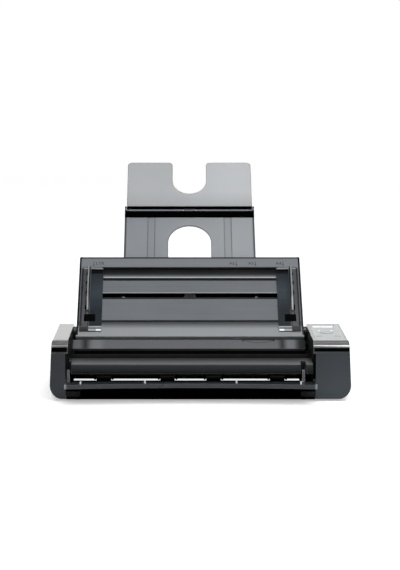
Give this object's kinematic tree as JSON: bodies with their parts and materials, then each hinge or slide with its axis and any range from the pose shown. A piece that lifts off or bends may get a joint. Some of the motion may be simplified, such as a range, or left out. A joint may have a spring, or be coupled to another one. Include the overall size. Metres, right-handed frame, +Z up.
{
  "type": "document scanner",
  "caption": "Document scanner with a hinged cover that opens into a paper tray, folding paper rest, coupled side guides and front visor.",
  "frame": {"origin": "on the desk under the middle of the open scanner's box", "axes": "+X to the right along the paper's width, +Y from the visor to the back, +Z up from the desk"},
  "size_m": [0.3132, 0.291, 0.2273],
  "materials": {
    "cap_gloss": "satin to gloss, dark grey",
    "body_black": "fine grain, near black",
    "tray_grey": "fine grain, slate grey",
    "rest_grey": "fine grain, cool grey",
    "guide_grey": "satin, slate grey",
    "guide_pad_black": "soft, black",
    "arm_grey": "satin, silver grey",
    "guide_dark": "satin, blue-black",
    "steel": "ground",
    "bush_bronze": "sintered",
    "roller_rubber": "matte",
    "roller_plastic": "smooth",
    "gear_plastic": "natural acetal",
    "bracket_metal": "zinc plated",
    "reference_white": "matte white",
    "clear_glass": "clear",
    "light_lens": "clear light guide",
    "panel_gloss": "gloss, dark grey",
    "key_plastic": "satin, dark grey",
    "board_green": "solder mask",
    "display_grey": "lit panel"
  },
  "bodies": {
    "body": {"base_housing": "body_black", "rubber_feet": "roller_rubber", "left_end_cap": "cap_gloss", "right_end_cap": "cap_gloss", "left_side_frame": "body_black", "right_side_frame": "body_black", "roller_bushes": "bush_bronze", "cover_hinge_pins": "steel", "rear_cover": "body_black", "lower_paper_guide": "body_black", "white_strip": "reference_white", "front_bar": "body_black", "pinch_holders": "body_black", "feed_bridge": "body_black", "separation_pad": "roller_rubber", "scan_bar": "body_black", "scan_glass": "clear_glass", "gear_bracket": "bracket_metal", "drive_motor": "bracket_metal", "main_board": "board_green", "display_module": "display_grey", "usb_socket": "steel", "control_panel": "panel_gloss", "display_window": "clear_glass", "status_lights": "light_lens"},
    "cover": {"cover_shell": "tray_grey", "cover_tray": "tray_grey"},
    "left_guide": {"left_guide": "guide_grey", "left_guide_wing": "guide_dark", "left_guide_pad": "guide_pad_black"},
    "right_guide": {"right_guide": "guide_grey", "right_guide_wing": "guide_dark", "right_guide_pad": "guide_pad_black"},
    "guide_pinion": {"guide_pinion": "guide_dark"},
    "paper_rest": {"lower_rest_panel": "rest_grey", "lower_hinge_beam": "body_black", "fold_pin": "steel"},
    "upper_rest": {"upper_hinge_beam": "body_black", "upper_rest_panel": "rest_grey"},
    "visor": {"visor": "body_black", "visor_arms": "arm_grey"},
    "feed_roller": {"feed_shaft": "steel", "feed_tyres": "roller_rubber", "feed_gear": "gear_plastic"},
    "exit_roller": {"exit_shaft": "steel", "exit_tyres": "roller_rubber", "exit_gear": "gear_plastic"},
    "pinch_rollers": {"pinch_rollers": "roller_plastic"},
    "idler_gear": {"idler_gear": "gear_plastic"},
    "motor_rotor": {"motor_shaft": "steel", "motor_pinion": "gear_plastic"},
    "scan_key": {"scan_key": "key_plastic"},
    "mode_key": {"mode_key": "key_plastic"},
    "power_key": {"power_key": "key_plastic"}
  },
  "joints": [
    {"name": "cover_hinge", "type": "hinge", "parent": "body", "child": "cover", "pos_m": [-0.0102, -0.02952, 0.05798], "axis": [1, 0, 0], "range_deg": [0, 136]},
    {"name": "guide_left_slide", "type": "slide", "parent": "cover", "child": "left_guide", "axis": [1, 0, 0], "range_m": [0, 0.058]},
    {"name": "guide_right_slide", "type": "slide", "parent": "cover", "child": "right_guide", "axis": [-1, 0, 0], "range_m": [0, 0.058]},
    {"name": "guide_pinion_spin", "type": "hinge", "parent": "cover", "child": "guide_pinion", "pos_m": [-0.0102, -0.00035, 0.0899], "axis": [0, -0.6947, 0.7193], "range_deg": [0, 560]},
    {"name": "rest_slide", "type": "slide", "parent": "cover", "child": "paper_rest", "axis": [0, -0.7193, -0.6947], "range_m": [0, 0.075]},
    {"name": "rest_fold", "type": "hinge", "parent": "paper_rest", "child": "upper_rest", "pos_m": [-0.0102, 0.09257, 0.1747], "axis": [-1, 0, 0], "range_deg": [0, 180]},
    {"name": "visor_hinge", "type": "hinge", "parent": "body", "child": "visor", "pos_m": [-0.0102, -0.11648, 0.021], "axis": [-1, 0, 0], "range_deg": [0, 90]},
    {"name": "feed_spin", "type": "hinge", "parent": "body", "child": "feed_roller", "pos_m": [-0.0102, -0.07303, 0.02111], "axis": [1, 0, 0], "continuous": true},
    {"name": "exit_spin", "type": "hinge", "parent": "body", "child": "exit_roller", "pos_m": [-0.0102, -0.11148, 0.0152], "axis": [1, 0, 0], "continuous": true},
    {"name": "pinch_spin", "type": "hinge", "parent": "body", "child": "pinch_rollers", "pos_m": [-0.0102, -0.11148, 0.0237], "axis": [1, 0, 0], "continuous": true},
    {"name": "idler_spin", "type": "hinge", "parent": "body", "child": "idler_gear", "pos_m": [0.1228, -0.0954, 0.02234], "axis": [1, 0, 0], "continuous": true},
    {"name": "motor_spin", "type": "hinge", "parent": "body", "child": "motor_rotor", "pos_m": [0.1228, -0.08938, 0.03888], "axis": [1, 0, 0], "continuous": true},
    {"name": "scan_key_press", "type": "slide", "parent": "body", "child": "scan_key", "axis": [0, 0, -1], "range_m": [0, 0.0008], "stiffness_N_per_m": 400, "springref_m": -0.001},
    {"name": "mode_key_press", "type": "slide", "parent": "body", "child": "mode_key", "axis": [0, 0, -1], "range_m": [0, 0.0008], "stiffness_N_per_m": 400, "springref_m": -0.001},
    {"name": "power_key_press", "type": "slide", "parent": "body", "child": "power_key", "axis": [0, 0, -1], "range_m": [0, 0.0008], "stiffness_N_per_m": 400, "springref_m": -0.001}
  ],
  "couplings": [
    {"joint": "guide_right_slide", "follows": "guide_left_slide", "ratio": 1},
    {"joint": "guide_pinion_spin", "follows": "guide_left_slide", "rad_per_m": 166.67},
    {"joint": "exit_spin", "follows": "feed_spin", "ratio": 2},
    {"joint": "idler_spin", "follows": "feed_spin", "ratio": -0.75},
    {"joint": "motor_spin", "follows": "feed_spin", "ratio": 2},
    {"joint": "pinch_spin", "follows": "feed_spin", "ratio": -3.125}
  ]
}
